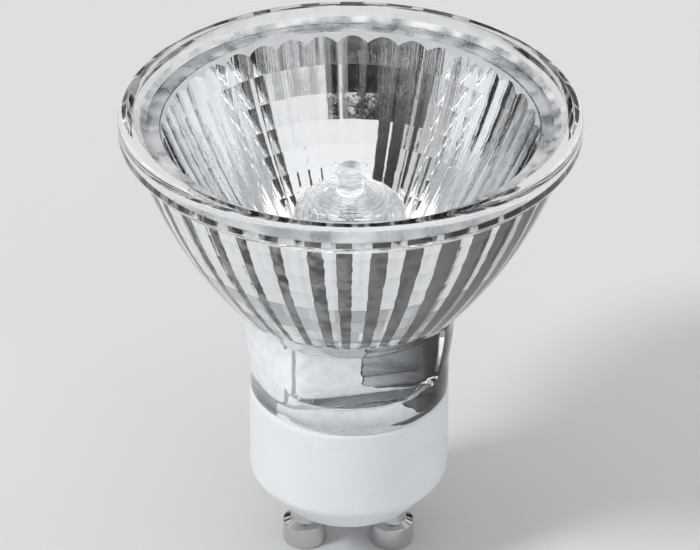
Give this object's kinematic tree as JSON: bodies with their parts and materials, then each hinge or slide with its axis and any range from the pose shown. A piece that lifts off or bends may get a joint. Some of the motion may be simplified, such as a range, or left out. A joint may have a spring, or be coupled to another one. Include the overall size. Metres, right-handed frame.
{
  "type": "gu10 spotlight bulb",
  "caption": "Mains reflector spotlight bulb: fluted mirror-glass bowl with a cover glass over a quartz capsule, on a white ceramic twist-lock cap with contact pins.",
  "frame": {"origin": "on the lamp's axis at the ends of the contact pins", "axes": "+Z along the lamp's axis towards the cover glass, X through both contact pins"},
  "size_m": [0.05, 0.05, 0.0569],
  "materials": {
    "white_ceramic": "satin",
    "nickel_plate": "polished",
    "zinc_steel": "satin",
    "reflector_glass": "gloss",
    "mirror_coat": "polished",
    "cover_glass": "gloss",
    "clear_silicone": "satin",
    "quartz": "gloss",
    "molybdenum": "satin",
    "tungsten": "satin",
    "nickel_wire": "satin",
    "glass_fibre": "matte",
    "fuse_enamel": "satin",
    "white_cement": "matte"
  },
  "bodies": {
    "root": {"ceramic_base": "white_ceramic", "contact_pin_left": "nickel_plate", "contact_pin_right": "nickel_plate", "pin_washer_left": "zinc_steel", "pin_washer_right": "zinc_steel", "glass_reflector": "reflector_glass", "front_lens": "cover_glass", "lens_seal": "clear_silicone", "capsule_envelope": "quartz", "foil_left": "molybdenum", "foil_right": "molybdenum", "inner_lead_left": "molybdenum", "inner_lead_right": "molybdenum", "filament": "tungsten", "filament_support": "tungsten", "outer_lead_left": "nickel_wire", "outer_lead_right": "nickel_wire", "lead_sleeve": "glass_fibre", "fuse_link": "fuse_enamel", "capsule_cement": "white_cement", "base_cement": "white_cement"}
  },
  "joints": []
}
